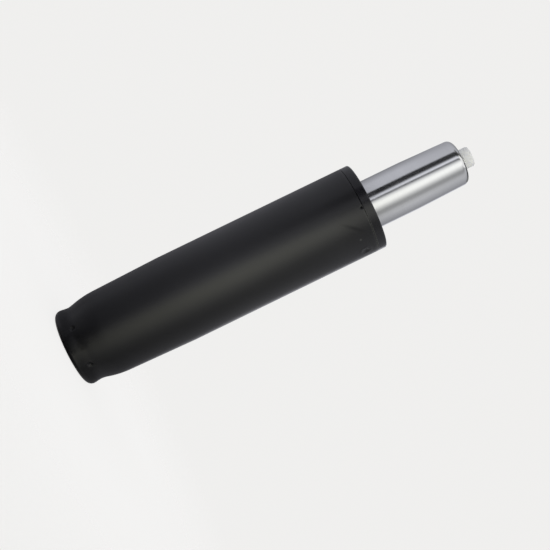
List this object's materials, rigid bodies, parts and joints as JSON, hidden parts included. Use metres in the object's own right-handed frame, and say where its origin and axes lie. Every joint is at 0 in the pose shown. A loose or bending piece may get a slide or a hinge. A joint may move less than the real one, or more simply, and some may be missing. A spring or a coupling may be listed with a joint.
{
  "type": "chair gas lift cylinder",
  "caption": "Height-adjusting gas lift for a swivel chair: black tapered column, bright sliding pressure tube with a tapered end, and a white release button on top.",
  "frame": {"origin": "centre of the flat ring at the column's foot", "axes": "+Z along the lift's axis, from the column's foot to the release button; +X is square to the view in which the sleeve's punch mark shows on the right"},
  "size_m": [0.05, 0.05, 0.2455],
  "materials": {
    "black_coat": "fine satin powder coat",
    "sleeve_plastic": "moulded satin",
    "ground_steel": "bright, ground round the axis",
    "plain_steel": "turned and zinc plated",
    "spring_steel": "black phosphate",
    "bearing_brass": "turned",
    "light_alloy": "turned",
    "seal_rubber": "moulded",
    "valve_plastic": "moulded, dark grey",
    "ring_plastic": "moulded, natural",
    "button_plastic": "moulded, milky white"
  },
  "bodies": {
    "column": {"column_tube": "black_coat", "guide_sleeve": "sleeve_plastic", "base_plate": "plain_steel", "lower_race": "ground_steel"},
    "ball_cage": {"ball_cage": "bearing_brass", "bearing_balls": "ground_steel"},
    "rod": {"piston_rod": "ground_steel", "upper_race": "ground_steel", "support_washer": "plain_steel", "bumper": "seal_rubber", "clip_washer": "plain_steel", "retaining_clip": "spring_steel", "piston": "light_alloy", "piston_seal": "seal_rubber", "piston_washer": "plain_steel"},
    "pressure_tube": {"pressure_tube": "ground_steel", "inner_cylinder": "plain_steel", "closing_washer": "plain_steel", "rod_guide": "bearing_brass", "rod_seal": "seal_rubber", "seal_washer": "plain_steel", "liner_ring": "ring_plastic", "valve_body": "valve_plastic", "valve_body_seal": "seal_rubber", "liner_seal": "seal_rubber", "pin_seal": "seal_rubber", "seat_seal": "seal_rubber", "spacer_ring": "bearing_brass", "seat_retainer": "plain_steel"},
    "button": {"release_button": "button_plastic", "valve_pin": "ground_steel"}
  },
  "joints": [
    {"name": "swivel", "type": "hinge", "parent": "column", "child": "rod", "pos_m": [0, 0, 0.0158], "axis": [0, 0, 1], "continuous": true},
    {"name": "cage_turn", "type": "hinge", "parent": "column", "child": "ball_cage", "pos_m": [0, 0, 0.0158], "axis": [0, 0, 1], "continuous": true},
    {"name": "lift", "type": "slide", "parent": "rod", "child": "pressure_tube", "axis": [0, 0, 1], "range_m": [0, 0.1]},
    {"name": "press", "type": "slide", "parent": "pressure_tube", "child": "button", "axis": [0, 0, -1], "range_m": [0, 0.004], "stiffness_N_per_m": 2000, "springref_m": -0.01}
  ],
  "couplings": [
    {"joint": "cage_turn", "follows": "swivel", "ratio": 0.5}
  ]
}
